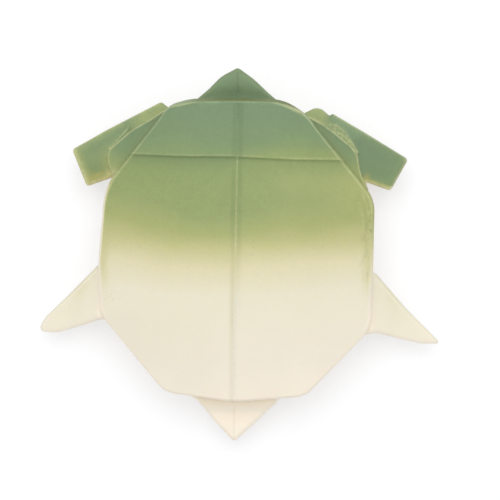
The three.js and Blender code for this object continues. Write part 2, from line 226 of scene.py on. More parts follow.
def linear(red, green, blue):
    """A colour given as seen on a screen, in linear light."""
    shares = [value / 255 for value in (red, green, blue)]
    return (*[s / 12.92 if s <= 0.04045 else ((s + 0.055) / 1.055) ** 2.4 for s in shares], 1.0)


SPRAY = [  # paint along the turtle: place in mm from the middle towards the head, colour
    # the cream rubber at the rear, partly made lighter as painted light on the shaded rear slope
    (-40, (239, 229, 211)),
    (-30, (232, 224, 207)),
    (-11, (223, 217, 195)),
    (-4.5, (213, 206, 171)),
    (1, (190, 187, 136)),
    (5.5, (161, 167, 109)),
    (11, (142, 155, 101)),
    (22, (137, 152, 98)),
    (31, (119, 140, 101)),
    (41, (114, 136, 103)),
    (45, (128, 150, 115)),
]
SPRAY_SPAN = (-45, 55)  # places that the ends of the ramp stand for
SIDE_FADE = 2.2  # the green stops this much sooner at the sides, in mm
SIDE_PLACE = 36  # how far from the middle the sides are
THICK_SHIFT = 16  # thick paint looks as it does this much nearer to the head, in mm
# dark green, used for darker paint and for painted shade
DARK_PAINT_AND_SHADE = linear(82, 105, 67)
STRAW_PAINT = linear(152, 163, 111)
AMBER_PAINT = linear(182, 165, 90)
BARE_RUBBER = linear(232, 216, 186)
WORN_PAINT = linear(206, 206, 156)

rubber = bpy.data.materials.new("sprayed_rubber")
rubber.use_nodes = True
tree = rubber.node_tree
shader = tree.nodes["Principled BSDF"]
place = Socket(tree, tree.nodes.new("ShaderNodeTexCoord").outputs["Object"])
x = place.node("ShaderNodeSeparateXYZ", {0: place}, out=0) * 1000
y = place.node("ShaderNodeSeparateXYZ", {0: place}, out=1) * 1000


def painted(label):
    """A number that the meshes carry at each point."""
    return place.node("ShaderNodeAttribute", {}, out=2, attribute_name=label)


grain = place.noise(2600, 2)
mottle = place.noise(520, 3)
patches = place.noise(190, 3)
cloud = place.noise(90, 2)
drops = ((place.noise(1900, 0) - 0.4) * 6).clamped()
reach = y - x * x * (SIDE_FADE / SIDE_PLACE**2)
reach = reach + grain * 1.6 + mottle * 1.0 + patches * 0.8 + cloud * 0.8 + drops * 1.3
# the thick numbers shift the spray's colour; on the shell's rear rim, the front flippers' folds and
# the rear flippers they also carry painted light and painted shade
reach = reach + painted("thick") * THICK_SHIFT
low, high = SPRAY_SPAN
stops = [((mm - low) / (high - low), linear(*colour)) for mm, colour in SPRAY]
sprayed = place.node("ShaderNodeValToRGB", {0: (reach - low) / (high - low)}, stops=stops)

uneven = 1.0 + 0.25 * mottle
covered = ((reach + 14) / 16).clamped()
worn = (painted("worn") * (0.8 + 0.5 * mottle + 0.35 * grain)).clamped() * covered
# the dark mix carries painted shade as well as darker paint; the amber and bare tints carry some
# painted shade too
colour = sprayed.mix((painted("shade_and_dark_paint") * uneven).clamped(), DARK_PAINT_AND_SHADE)
colour = colour.mix((painted("straw") * uneven).clamped(), STRAW_PAINT)
colour = colour.mix((painted("amber") * uneven).clamped(), AMBER_PAINT)
colour = colour.mix((painted("bare") * uneven).clamped(), BARE_RUBBER)
colour = colour.mix(worn, WORN_PAINT)
speckle = 1.0 + grain * (0.01 + 0.125 * covered) + mottle * (0.01 + 0.07 * covered)
speckle = speckle + patches * (0.02 + 0.03 * covered)
shade = place.node("ShaderNodeCombineColor", {0: speckle, 1: speckle, 2: speckle})
inputs = {0: 1.0, 6: colour, 7: shade}
finish = colour.node("ShaderNodeMix", inputs, out=2, data_type="RGBA", blend_type="MULTIPLY")
tree.links.new(finish.output, shader.inputs["Base Color"])
roughness = 0.6 + 0.08 * mottle
tree.links.new(roughness.output, shader.inputs["Roughness"])
height = grain * 0.6 + mottle * 0.4
inputs = {"Height": height, "Strength": 0.25, "Distance": 0.00012}
bump = place.node("ShaderNodeBump", inputs)
tree.links.new(bump.output, shader.inputs["Normal"])
shader.inputs["Specular IOR Level"].default_value = 0.3
shader.inputs["Subsurface Weight"].default_value = 0.12
shader.inputs["Subsurface Radius"].default_value = (1.0, 0.7, 0.4)
shader.inputs["Subsurface Scale"].default_value = 0.0015

shell_plan = rounded(SHELL_CORNERS, SHELL_STEP)
flank_plan = (shell_plan - MIDDLE) * FLANK_SCALE
angles = np.arctan2(flank_plan[:, 1], flank_plan[:, 0])
circle = np.column_stack([np.cos(angles), np.sin(angles)])
belly_rings = [at_height(MIDDLE + circle * radius, rise) for radius, rise in HOLE_PROFILE]
belly_rings.append(at_height(MIDDLE + flank_plan * BELLY_RING, 0))
for turn in np.linspace(0, math.pi / 2, 10):
    scale = BELLY_SCALE + (1 - BELLY_SCALE) * math.sin(turn)
    rise = BELLY_ROUND * (1 - math.cos(turn))
    belly_rings.append(at_height(MIDDLE + flank_plan * scale, rise))
for rise in FLANK_ROWS:
    belly_rings.append(at_height(MIDDLE + flank_plan, rise))
belly_rings.append(at_height(MIDDLE + flank_plan * TOP_RING, FLANK_TOP))
points, faces = loft(belly_rings)
plastron = made_mesh("plastron_skin", points, faces, {"bare": np.full(len(points), RAW)})
plastron.data.materials.append(rubber)
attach(plastron, "body")
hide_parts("plastron")

# Casting plug: a small round stopper of the same cream rubber, glued into the drain hole.
# It sits a little inside the belly, so that the toy doesn't rock on it.

PLUG_RADIUS = 4.2
PLUG_FACE = 0.4
PLUG_PROFILE = [  # radius, height over the plug's face
    (0.5, 0),
    (3.6, 0),
    (4.0, 0.08),
    (4.16, 0.22),
    (PLUG_RADIUS, 0.5),
    (PLUG_RADIUS, 2.3),
    (3, 2.3),
]

spokes = np.linspace(0, 2 * math.pi, 64, endpoint=False)
disc = np.column_stack([np.cos(spokes), np.sin(spokes)])
plug_rings = [at_height(MIDDLE + disc * radius, PLUG_FACE + rise) for radius, rise in PLUG_PROFILE]
points, faces = loft(plug_rings)
plug = made_mesh("casting_plug_skin", points, faces, {"bare": np.full(len(points), RAW)})
plug.data.materials.append(rubber)
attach(plug, "body")
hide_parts("casting_plug")

# Carapace: the upper half of the casting, a thin-edged sheet domed like folded paper.
# Green is sprayed on from the head end and fades out. A pleat crosses it, and the edges are worn pale.
# At the front its rim leans out as a collar, darkened with painted shade, and the right side has soft
# wrinkles.

RIM_TOP = 17.2
RIM_MIDDLE = 14.8
RIM_UNDERSIDE = 14.0
REAR_LIFT = 0.6  # the rim's middle is this much higher at the rear
RIM_LEAN = 0.6  # how far in the rim's wall ends, in mm
COLLAR_LEAN = 0.95  # the same at the front
PINCH = 0.33  # and this much less at the two front corners
PINCHES = [((18.4, 39.0), 3.5), ((-20.2, 39.8), 2.8)]  # place, radius
EDGE_ROLL = 0.1  # low bead inside the rim
CREASE_FALL = 1.2  # from the crease to the sides
CROWN_RISE = 9.8
CROWN_POWER = 2.4  # 2 makes the dome round, more makes it square
HALF_SIZE = (38.1, 41.2)
PLEAT_PLACE = 26.86
PLEAT_TILT = -0.015
PLEAT_WAVE = 0.13
PLEAT_STEP = 0.65
PLEAT_LIP = 0.08
CREASE_SHIFT = 0.68
CREASE_BOW = 0.3
GROOVE_LEFT = -0.95  # middles of the grooves beside the crease
GROOVE_RIGHT = 0.9
GROOVE_WIDTH = 0.6
GROOVE_DEPTH = 0.11
WRINKLE_HEIGHT = 0.06
RUBBED_RIGHT = (16, 40)  # front corners where the paint is rubbed off
RUBBED_LEFT = (-16, 41)
NOTCH = (-34.2, 21.3)  # where the left flipper's rear edge meets the shell
SPECKLED = (-34.6, -11.8)  # a small group of brown specks
SHELL_SPACING = 0.9  # between points on the shell's faces
ROW_SHARE = 0.87  # height of a triangle, next to its base
LINE_STEP = 0.4  # between points on a line drawn on a face
LINE_ROOM = 0.3  # between such a line and the edge


def moved_in(outline, distance):
    """An anticlockwise outline moved inwards."""
    along = np.roll(outline, -1, axis=0) - np.roll(outline, 1, axis=0)
    along /= np.linalg.norm(along, axis=1)[:, None]
    return outline + distance * np.column_stack([-along[:, 1], along[:, 0]])


def measured(line, points, closed):
    """Distance of every point from a line, and how far along the line its nearest place is."""
    line = np.asarray(line, float)
    starts = line if closed else line[:-1]
    spans = (np.roll(line, -1, axis=0) if closed else line[1:]) - starts
    lengths = np.linalg.norm(spans, axis=1)
    before = np.r_[0, np.cumsum(lengths)[:-1]]
    away, along = [], []
    for block in np.array_split(points, max(1, len(points) // 2000)):
        offsets = block[:, None] - starts
        shares = np.clip((offsets * spans).sum(axis=2) / lengths**2, 0, 1)
        gaps = np.linalg.norm(offsets - shares[:, :, None] * spans, axis=2)
        nearest = gaps.argmin(axis=1)
        rows = np.arange(len(block))
        away.append(gaps[rows, nearest])
        along.append(before[nearest] + (shares * lengths)[rows, nearest])
    return np.concatenate(away), np.concatenate(along)


def inside(outline, points):
    """Whether every point is inside a closed outline."""
    outline = np.asarray(outline, float)
    found = np.zeros(len(points), bool)
    for (ax, ay), (bx, by) in zip(outline, np.roll(outline, -1, axis=0)):
        if ay != by:
            crosses = (ay > points[:, 1]) != (by > points[:, 1])
            found ^= crosses & (points[:, 0] < ax + (points[:, 1] - ay) * (bx - ax) / (by - ay))
    return found


def smooth(value, low, high):
    """0 below low, 1 above high, with a soft change between them."""
    share = np.clip((value - low) / (high - low), 0, 1)
    return share * share * (3 - 2 * share)


def bell(value, width):
    """1 at zero, falling off softly to both sides."""
    return np.exp(-((value / width) ** 2))


def spot(plan, place, radius):
    """1 at a place in the plan, falling off softly over a radius, or over one for each axis."""
    return bell(np.linalg.norm((plan - place) / radius, axis=1), 1)


def rough(plan, size, seed):
    """Smooth random numbers from -1 to 1 over a plan, with features of a size in mm."""
    return np.array([noise.noise(Vector((px / size, py / size, seed))) for px, py in plan])


def sheet(outline, insets, lines, spacing):
    """Plan points and triangles of a sheet. Points follow its edge and the lines drawn on it."""
    rows = [moved_in(outline, inset) for inset in insets]
    low, high = outline.min(axis=0), outline.max(axis=0)
    columns = np.arange(low[0], high[0], spacing)
    fill = []
    for row, level in enumerate(np.arange(low[1], high[1], spacing * ROW_SHARE)):
        shift = spacing / 2 if row % 2 else 0
        fill.append(np.column_stack([columns + shift, np.full(len(columns), level)]))
    fill = np.vstack(fill)
    fill = fill[inside(outline, fill)]
    fill = fill[measured(outline, fill, True)[0] > insets[-1] + spacing * 0.5]
    for line, offsets in lines:
        line = resampled(np.array(line, float), LINE_STEP, closed=False)
        along = np.gradient(line, axis=0)
        along /= np.linalg.norm(along, axis=1)[:, None]
        across = np.column_stack([-along[:, 1], along[:, 0]])
        drawn = np.vstack([line + across * offset for offset in offsets])
        drawn = drawn[inside(outline, drawn)]
        rows.append(drawn[measured(outline, drawn, True)[0] > LINE_ROOM])
        fill = fill[measured(line, fill, False)[0] > max(offsets) + spacing * 0.5]
    rows = np.vstack(rows)
    plan = np.vstack([outline, rows[inside(outline, rows)], fill])
    border = [list(range(len(outline)))]
    found = delaunay_2d_cdt([Vector(point) for point in plan], [], border, 1, 1e-5, False)
    plan = np.array([point[:] for point in found[0]])
    triangles = np.array([list(face) for face in found[2]])
    return plan, triangles[inside(outline, plan[triangles].mean(axis=1))]


def solid_sheet(name, outline, plan, triangles, top, bottom, attributes):
    """A closed skin: an upper and a lower sheet that share the points on their outline.

    A triangle with all its corners on the outline would be flat and doubled, so it is left out.
    An attribute has its values on the upper sheet and then those on the lower one.
    """
    on_edge = measured(outline, plan, True)[0] < 1e-4
    within = ~on_edge
    triangles = triangles[within[triangles].any(axis=1)]
    lower = np.arange(len(plan))
    lower[within] = len(plan) + np.arange(within.sum())
    points = np.vstack([np.column_stack([plan, top]), np.column_stack([plan, bottom])[within]])
    faces = np.vstack([triangles, lower[triangles][:, ::-1]])
    used, faces = np.unique(faces, return_inverse=True)
    carried = {}
    for label, (upper_values, lower_values) in attributes.items():
        values = np.r_[upper_values, np.broadcast_to(lower_values, len(plan))[within]]
        carried[label] = values[used]
    return made_mesh(name, points[used], faces.reshape(-1, 3), carried)


def crown_height(plan):
    """Top of the shell's dome."""
    offset = plan - MIDDLE
    edge = shell_plan - MIDDLE
    order = np.argsort(np.arctan2(edge[:, 1], edge[:, 0]))
    edge_angles = np.arctan2(edge[:, 1], edge[:, 0])[order]
    edge_lengths = np.linalg.norm(edge, axis=1)[order]
    facing = np.arctan2(offset[:, 1], offset[:, 0])
    limit = np.interp(facing, edge_angles, edge_lengths, period=2 * math.pi)
    outer = np.linalg.norm(offset, axis=1) / limit
    soft = (np.abs(offset / HALF_SIZE) ** CROWN_POWER).sum(axis=1) ** (1 / CROWN_POWER)
    share = soft + (outer - soft) * np.clip(outer, 0, 1) ** 4
    fall = CREASE_FALL * np.abs(plan[:, 0]) / HALF_SIZE[0]
    return RIM_TOP - fall + CROWN_RISE * (1 - share**2)


def crease_place(level):
    """How far right of the middle the crease is, at a place along the turtle."""
    return CREASE_SHIFT - CREASE_BOW * (level / 40) ** 2


def pleat_place(side):
    """How far ahead of the middle the pleat is, at a place across the turtle."""
    return PLEAT_PLACE + PLEAT_TILT * side - PLEAT_WAVE * np.cos(2 * math.pi * (side + 16) / 31)


crease_line = [(crease_place(level), level) for level in np.linspace(41.6, -39.7, 21)]
pleat_line = [(side, pleat_place(side)) for side in np.linspace(-31, 31, 41)]
crease_side = [0.15, 0.35, 0.55, 0.75, 0.95, 1.2, 1.5, 2.0]
crease_rows = [*[-offset for offset in crease_side[::-1]], 0, *crease_side]
pleat_rows = [-1.4, -0.8, -0.45, -0.2, -0.08, 0.05, 0.18, 0.35, 0.6, 1.0]
plan, triangles = sheet(
    shell_plan,
    [*np.arange(0.1, 1.25, 0.1), *np.arange(1.4, 4.7, 0.3)],
    [(crease_line, crease_rows), (pleat_line, pleat_rows)],
    SHELL_SPACING,
)
side, level = plan.T
inset = measured(shell_plan, plan, True)[0]
beside = side - crease_place(level)
ahead = level - pleat_place(side)
front = smooth(level, 34, 41)
rear = 1 - smooth(level, -16, -4)

# Its form: the rim's wall, the dome, the pleat, the grooves beside the crease and the wrinkles.
ends = 1 - smooth(side, 12, 18) - smooth(-side, 15, 19)
pinched = sum(spot(plan, corner, radius) for corner, radius in PINCHES)
lean = RIM_LEAN + (COLLAR_LEAN - RIM_LEAN) * front * ends - PINCH * pinched
rim = inset / lean
wrinkled = smooth(inset, 0.8, 1.4) * (1 - smooth(inset, 3, 4.6)) * smooth(side, 24, 31)
wrinkled *= smooth(level, -12, -4) * (1 - smooth(level, 14, 20))
wave = 1.5 * rough(plan * (1, 0.3), 1.1, 3.1) + 0.8 * rough(plan * (1, 0.6), 0.6, 6.4)
left_groove = bell(beside - GROOVE_LEFT, GROOVE_WIDTH)
right_groove = bell(beside - GROOVE_RIGHT, GROOVE_WIDTH) * smooth(level, -24, 0)
crown = crown_height(plan)
crown += PLEAT_STEP * smooth(ahead, -0.65, 0.2) + PLEAT_LIP * bell(ahead - 0.3, 0.3)
crown -= GROOVE_DEPTH * (left_groove + right_groove)
crown += EDGE_ROLL * bell(rim - 1.6, 0.4) * smooth(level, -6, 8)
crown += WRINKLE_HEIGHT * wave * wrinkled
edge = RIM_MIDDLE + REAR_LIFT * rear
wall = np.interp(rim, [0, 0.3, 0.65, 0.9, 1.1, 1.35], [0, 0.3, 0.72, 0.93, 0.99, 1])
top = edge + (crown - edge) * wall
bottom = edge - (edge - RIM_UNDERSIDE) * smooth(inset, 0, 0.7) ** 0.5

# Paint rubbed off: along the rim, most at the front corners, on the pleat and on the wrinkles.
rubbed_right = spot(plan, RUBBED_RIGHT, 4)
rubbed_left = spot(plan, RUBBED_LEFT, 3)
beside_blade = smooth(level, 10, 16) * (1 - smooth(level, 26, 34))
spread = 0.17 + 0.3 * rubbed_right + 0.08 * rubbed_left + 0.14 * beside_blade
scuffed = smooth(side, 30, 35) * smooth(level, 0, 3) * (1 - smooth(level, 10, 14))
worn_edge = 0.44 + 0.2 * rubbed_right + 0.25 * rubbed_left
worn_edge *= bell(inset - lean * 1.2 - 0.12 * rubbed_right, spread)
worn_edge *= 1 - 0.3 * smooth(-side, 18, 20) * smooth(level, 20, 30)
worn_edge *= 1 - 0.6 * front * (1 - smooth(np.abs(side), 8, 13))
worn_edge *= 1 - 0.6 * scuffed
worn_wall = np.maximum(0.3 * rubbed_left, 0.8 * spot(plan, NOTCH, 2.2))
worn_wall *= 1 - smooth(rim, 0.7, 1.1)
worn_pleat = 0.18 * bell(ahead - 0.25, 0.28) * (1 + 0.9 * rough(plan, 6, 5.2))
worn_wrinkle = 0.3 * np.clip(wave, 0, 1) ** 2 * wrinkled

# Painted shade and darker paint: painted shade on the collar and in the wrinkle hollows, a painted
# shadow behind the pleat, painted shade with some pooled pigment in the grooves, and dark specks and
# dots of paint.
# painted shade, with a brown tint, on the collar: the rim's front wall that leans out under the
# shell's edge
collar_shade = front * (1 - smooth(side, 16.5, 19) - 0.9 * smooth(-side, 9, 15))
collar_shade *= 1 - smooth(rim, 0.75, 1.05)
# a painted shadow behind the pleat, and a wider, fainter one on its left
behind = np.minimum(ahead, 0)
pleat_shadow_left = 0.1 * np.exp(behind / 5) * (1 - smooth(side, -2, 10))
pleat_shadow = (0.3 * np.exp(behind / 1.4) + pleat_shadow_left) * (ahead < 0)
# painted shade in the grooves beside the crease, with some pigment pooled there; deeper over the
# middle of the shell
darker_grooves_zone = smooth(level, -22, -16) * (1 - smooth(level, 2, 7))
beside_bead = bell(beside + 0.75 + 0.2 * smooth(level, 0, 10), GROOVE_WIDTH)
left_groove_shade = 0.045 + 0.135 * smooth(level, -4, 12) + 0.035 * darker_grooves_zone
right_groove_shade = 0.05 + 0.08 * smooth(level, -4, 8) + 0.12 * smooth(level, 14, 22) + 0.03 * darker_grooves_zone
groove_shade = beside_bead * left_groove_shade + right_groove * right_groove_shade
# a brown painted shadow in the left groove over the cream rear
left_groove_shadow_tint = 0.15 * beside_bead * (1 - smooth(level, -5, 3))
left_groove_shadow_tint *= 0.5 + 0.5 * smooth(level, -34, -16)
# painted shade in the hollows of the wrinkles
wrinkle_shade = 0.16 * np.clip(-wave, 0, 1) * wrinkled
dots = smooth(rough(plan, 0.55, 4.6), 0.1, 0.4) * bell(inset - 1.1, 0.6)
dots *= smooth(side, 28, 33) * bell(level - 7, 6)
specks = smooth(rough(plan, 0.5, 9.1), 0.15, 0.4) * spot(plan, SPECKLED, 1.6)
shade_and_dark_paint = [collar_shade, pleat_shadow, groove_shade, wrinkle_shade, 0.12 * specks, 0.45 * dots]

# Thickness of the spray: lighter in patches over the green and at two spots ahead of the pleat, thin
# at the left of the rim, and at the rear of the rim lighter as painted light on its shaded wall.
lighter_patches = 0.3 * smooth(side, -6, 16) * (1 + 1.2 * smooth(level, 14, 22))
lighter_patches += 0.12 * smooth(side, 20, 32) * smooth(level, 11, 15)
lighter_patches += 0.12 * spot(plan, (16, 25), (9, 6))
lighter_patches += 0.28 * smooth(-side, 8, 30) * (1 - smooth(level, 16, 24))
lighter_patches *= smooth(level, 3, 12) * (1 - smooth(level, 25, 31))
lighter_patches += 0.2 * spot(plan, (16.5, 31.5), (8, 4)) + 0.1 * spot(plan, (-15, 32), (6, 4))
crisp = 0.1 * bell(level - 11, 3.5) - 0.12 * bell(level + 0.5, 6.5)
crisp *= 0.25 + 0.75 * smooth(side, -2, 6) + 0.5 * smooth(-side, 18, 28)
crisp += 0.35 * smooth(-side, 0, 12) * (1 - smooth(level, -24, -10))
gathered = smooth(inset, 0.5, 1) * (1 - smooth(inset, 1.5, 4)) * bell(level + 5, 7)
# painted light: the rim's wall at the rear is made lighter where it is shaded
rear_rim_light = (1 - smooth(rim, 0.7, 1.7)) * rear
left_rim = (1 - smooth(rim, 0.75, 1.3)) * smooth(-side, 0, 10) * (1 - smooth(level, 14, 26))
spray_and_painted_light = crisp - lighter_patches - 1.1 * rear_rim_light - 1.3 * left_rim + 0.3 * gathered

carapace = solid_sheet(
    "carapace_skin",
    shell_plan,
    plan,
    triangles,
    top,
    bottom,
    {
        "worn": (np.maximum.reduce([worn_edge, worn_wall, worn_pleat, worn_wrinkle]), 0),
        # the collar's painted shade also lies on the lower wall at the front
        "shade_and_dark_paint": (np.maximum.reduce(shade_and_dark_paint), 0.5 * front),
        "amber": (np.maximum.reduce([0.15 * collar_shade, 0.25 * specks, left_groove_shadow_tint]), 0),
        "thick": (spray_and_painted_light, 0),
        "bare": (0.15 * left_rim, 0.8 * (1 - front)),
    },
)
carapace.data.materials.append(rubber)
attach(carapace, "body")
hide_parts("carapace")

# Crease of the shell: the fold down its middle, a fine bead between two shallow grooves.
# It is part of the casting. Its paint is rubbed off unevenly, so it looks grainy, and ahead of the
# pleat it is darkened with painted shade.

CREASE_WIDTH = 0.72
CREASE_DEPTH = 0.22  # middle of the bead under the shell's surface
BEAD_STEP = 0.25
UNEVENNESS = 0.6  # of a bead's width

beads = bpy.data.node_groups.new("worn_bead", "GeometryNodeTree")
BEAD_INPUTS = {}
for label, kind in (
    ("Geometry", "NodeSocketGeometry"),
    ("Width", "NodeSocketFloat"),
    ("Unevenness", "NodeSocketFloat"),
    ("Seed", "NodeSocketFloat"),
    ("Material", "NodeSocketMaterial"),
):
    made = beads.interface.new_socket(label, in_out="INPUT", socket_type=kind)
    BEAD_INPUTS[label] = made.identifier
beads.interface.new_socket("Geometry", in_out="OUTPUT", socket_type="NodeSocketGeometry")
sources = beads.nodes.new("NodeGroupInput").outputs
given = {made.name: Socket(beads, made) for made in sources if made.name}
path = given["Geometry"].node("GeometryNodeMeshToCurve", {"Mesh": given["Geometry"]})
inputs = {"Curve": path, "Length": BEAD_STEP * MM}
path = path.node("GeometryNodeResampleCurve", inputs, mode="LENGTH")
inputs = {"W": given["Seed"], "Scale": 1400.0, "Detail": 1.0}
lumps = path.node("ShaderNodeTexNoise", inputs, noise_dimensions="4D") * 2.0 - 1.0
swell = given["Width"] / 2.0 * (1.0 + given["Unevenness"] * lumps)
ring = path.node("GeometryNodeCurvePrimitiveCircle", {"Resolution": 8, "Radius": 1.0})
inputs = {"Curve": path, "Profile Curve": ring, "Scale": swell, "Fill Caps": True}
bead = path.node("GeometryNodeCurveToMesh", inputs)
bead = bead.node("GeometryNodeSetShadeSmooth", {"Geometry": bead})
bead = bead.node("GeometryNodeRealizeInstances", {"Geometry": bead})
bead = bead.node("GeometryNodeSetMaterial", {"Geometry": bead, "Material": given["Material"]})
beads.links.new(bead.output, beads.nodes.new("NodeGroupOutput").inputs[0])


def on_line(line, plan, top):
    """The points of a sheet's upper face that lie on a line drawn on it, in order."""
    away, along = measured(line, plan, False)
    picked = np.flatnonzero(away < 0.01)
    picked = picked[np.argsort(along[picked])]
    return np.column_stack([plan, top])[picked]


def worn_bead(name, path, width, seed, attributes):
    """A ridge along a path in mm, with a number per point of the path for every attribute."""
    piece = made_mesh(name, path, np.zeros((0, 3), int), attributes)
    piece.data.edges.add(len(path) - 1)
    steps = np.arange(len(path) - 1)
    piece.data.edges.foreach_set("vertices", np.column_stack([steps, steps + 1]).ravel())
    modifier = piece.modifiers.new("bead", "NODES")
    modifier.node_group = beads
    modifier[BEAD_INPUTS["Width"]] = width * MM
    modifier[BEAD_INPUTS["Unevenness"]] = UNEVENNESS
    modifier[BEAD_INPUTS["Seed"]] = seed
    modifier[BEAD_INPUTS["Material"]] = rubber
    finished = piece.evaluated_get(bpy.context.evaluated_depsgraph_get())
    plain = bpy.data.meshes.new_from_object(finished)
    piece.modifiers.remove(modifier)
    piece.data = plain
    return piece


path = on_line(crease_line, plan, top)
path[:, 2] -= CREASE_DEPTH
level = path[:, 1]
behind_pleat = smooth(-level, -28, -26)
# ahead of the pleat the bead is darkened with painted shade, most at the front end
carried = {
    "worn": 0.03 + 0.17 * behind_pleat,
    "shade_and_dark_paint": 0.08 * (1 - behind_pleat) + 0.17 * smooth(level, 33, 39),
    "bare": 0.16 * bell(level - 2, 5),
}
shell_crease = worn_bead("shell_crease", path, CREASE_WIDTH, 1.0, carried)
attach(shell_crease, "body")

# Head and tail: solid pointed tabs, part of the same casting, that bend under the shell's edge.
# The head is painted and has a soft valley across it, darkened with painted shade. The tail is bare
# cream rubber, tan at its root as painted shade.
# The crease of the shell runs on to both points.

TAB_STEP = 0.4  # between points on a tab's outline, in mm
TAB_SPACING = 0.8  # between points on its faces
TAB_INSETS = [0.06, 0.15, 0.28, 0.45, 0.7, 1.0, 1.4]
TAB_CREASE_ROWS = [-0.7, -0.35, 0, 0.35, 0.7]
TAB_CREASE_WIDTH = 0.22
TAB_HALF_WIDTH = 12
TAB_EDGE = 1.2  # radius of the round edge
ROOT_THICKNESS = 5.6
HEAD_ROOT = 42  # how far ahead of the middle the head comes out
HEAD_HEIGHT = 9.5
HEAD_THICKNESS = 3.6
VALLEY_DEPTH = 0.5
TAIL_ROOT = -40.4
TAIL_TOP = 10.5
TAIL_SLOPE = 0.12
TAIL_RISE = 2.6  # the tail's top rises this much to the shell
TAIL_THICKNESS = 3.4
HEAD_CORNERS = [
    (-12.5, 36, 0.5),
    (12, 36, 0.5),
    (12.2, 41.6, 2),
    (8.2, 44.9, 14),
    (4.15, 48.65, 20),
    (-0.3, 51.8, 1.2),
    (-4.95, 49.3, 9),
    (-8.3, 45.9, 12),
    (-13, 41.8, 2),
]


def rounded_edge(inset, radius):
    """Share of the full thickness near a round edge."""
    return np.sqrt(1 - (1 - np.clip(inset / radius, 0, 1)) ** 2)


head_plan = rounded(HEAD_CORNERS, TAB_STEP)
head_crease = [(0, 37), (-0.3, 50.6)]
drawn = [(head_crease, TAB_CREASE_ROWS)]
plan, triangles = sheet(head_plan, TAB_INSETS, drawn, TAB_SPACING)
inset = measured(head_plan, plan, True)[0]
out = plan[:, 1] - HEAD_ROOT
side = np.abs(plan[:, 0]) / TAB_HALF_WIDTH
middle = HEAD_HEIGHT + 1.6 * smooth(out, 2, 9) * (1 - side)
thick = HEAD_THICKNESS + (ROOT_THICKNESS - HEAD_THICKNESS) * smooth(-out, -1, 4.5)
thick -= 2 * VALLEY_DEPTH * bell(out - 2.6, 1.5) * (1 - 0.5 * side)
rim = rounded_edge(inset, TAB_EDGE)
top = middle + thick / 2 * rim
outer = 1 - smooth(inset, 0.3, 1.2 + 0.8 * smooth(out, 6, 9))
# painted shade in the valley across the head
valley_shade = bell(out - 2.1, 1.2) * (0.65 - 0.26 * side - 0.2 * bell(plan[:, 0] - 1, 2.5))
head = solid_sheet(
    "head_skin",
    head_plan,
    plan,
    triangles,
    top,
    middle - thick / 2 * rim,
    {
        "shade_and_dark_paint": (np.maximum(0.04 + valley_shade, 0.5 * outer), 0.2),
        "bare": (0.05 * outer, 0.6),
    },
)
head.data.materials.append(rubber)
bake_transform(head)
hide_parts("head")

path = on_line(head_crease, plan, top)
# the head's crease is darker along its length, with painted shade where it meets the shell's edge
dark = {"shade_and_dark_paint": 0.12 + 0.2 * bell(path[:, 1] - 43, 1.5)}
head_crease_bead = worn_bead("head_crease", path, TAB_CREASE_WIDTH, 2.0, dark)
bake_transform(head_crease_bead)

TAIL_CORNERS = [
    (12, -35, 0.5),
    (-12, -35, 0.5),
    (-13.2, -38.6, 1.5),
    (-10.0, -40.7, 3),
    (-6.6, -45.3, 60),
    (0.1, -52.2, 1.0),
    (7.3, -45.3, 60),
    (11.5, -41, 4),
    (13.4, -39, 1.5),
]
tail_plan = rounded(TAIL_CORNERS, TAB_STEP)
tail_crease = [(0, -37), (0.1, -50.8)]
drawn = [(tail_crease, TAB_CREASE_ROWS)]
plan, triangles = sheet(tail_plan, TAB_INSETS, drawn, TAB_SPACING)
inset = measured(tail_plan, plan, True)[0]
out = TAIL_ROOT - plan[:, 1]
side = np.abs(plan[:, 0]) / TAB_HALF_WIDTH
top = TAIL_TOP - TAIL_SLOPE * np.maximum(out, -1) + 0.4 * smooth(out, -2, 5) * (1 - side)
thick = TAIL_THICKNESS + (ROOT_THICKNESS - TAIL_THICKNESS) * smooth(-out, -1, 4.5)
rim = rounded_edge(inset, TAB_EDGE)
lower = top - thick
top += TAIL_RISE * (1 - smooth(out, -0.5, 3.5))
middle = (top + lower) / 2
top = middle + (top - middle) * rim
tail = solid_sheet(
    "tail_skin",
    tail_plan,
    plan,
    triangles,
    top,
    middle - (middle - lower) * rim,
    # tan at the root is painted shade under the shell's rear edge, and the tail is a little darker
    # towards its tip
    {"bare": (0.45 * bell(out - 0.4, 1.0), 0.6), "thick": (0.7 * smooth(out, 4, 9), 0)},
)
tail.data.materials.append(rubber)
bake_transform(tail)
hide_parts("tail")

path = on_line(tail_crease, plan, top)
bare = {"bare": np.full(len(path), 0.2)}
tail_crease_bead = worn_bead("tail_crease", path, TAB_CREASE_WIDTH, 3.0, bare)
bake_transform(tail_crease_bead)

# Front flippers: square-ended blades that come out from under two folded plies beside the shell.
# Solid painted rubber, part of the casting. The folds are worn pale and the rear edges barely painted.
# Painted shade darkens the fold beside the shell, the leading edges and a notch.
# On the right the lower ply ends in a round lobe with a rough, torn-looking edge.

SHOULDER_MIDDLE = np.array([26.5, 29.35])
SHOULDER_ALONG = np.array([0.6355, -0.7722])
SHOULDER_OUT = np.array([0.7722, 0.6355])
BLADE_SPACING = 0.45
BLADE_TOP = 12.3
BLADE_SLOPE = 0.1
BLADE_THICKNESS = 3.6
BLADE_EDGE = 1.1
ROOT_DROP = 1.2  # the root is this much thicker, downwards
FOLD_STEP = 0.8  # the upper ply stands this much over the lower one
FOLD_LIP = 0.12
FOLD_ROWS = [-1.0, -0.6, -0.35, -0.18, -0.05, 0.08, 0.2, 0.4, 0.7, 1.1]
RIDGE_HEIGHT = 0.16
RIDGE_ROWS = [-0.36, -0.18, 0, 0.18, 0.36]
LUMP_HEIGHT = 0.16
RIDGE_STEP = 0.2
TUCK = (35.6, 22.0)  # where the rear edge goes under the fold
WEB = (34.6, 21.5)  # where it meets the shell
UNDER_FOLD = [(30, 23), (10, 24), (12, 45)]  # closes the fold's outline under the shell
UNDER_PLY = [*UNDER_FOLD, (24, 45)]
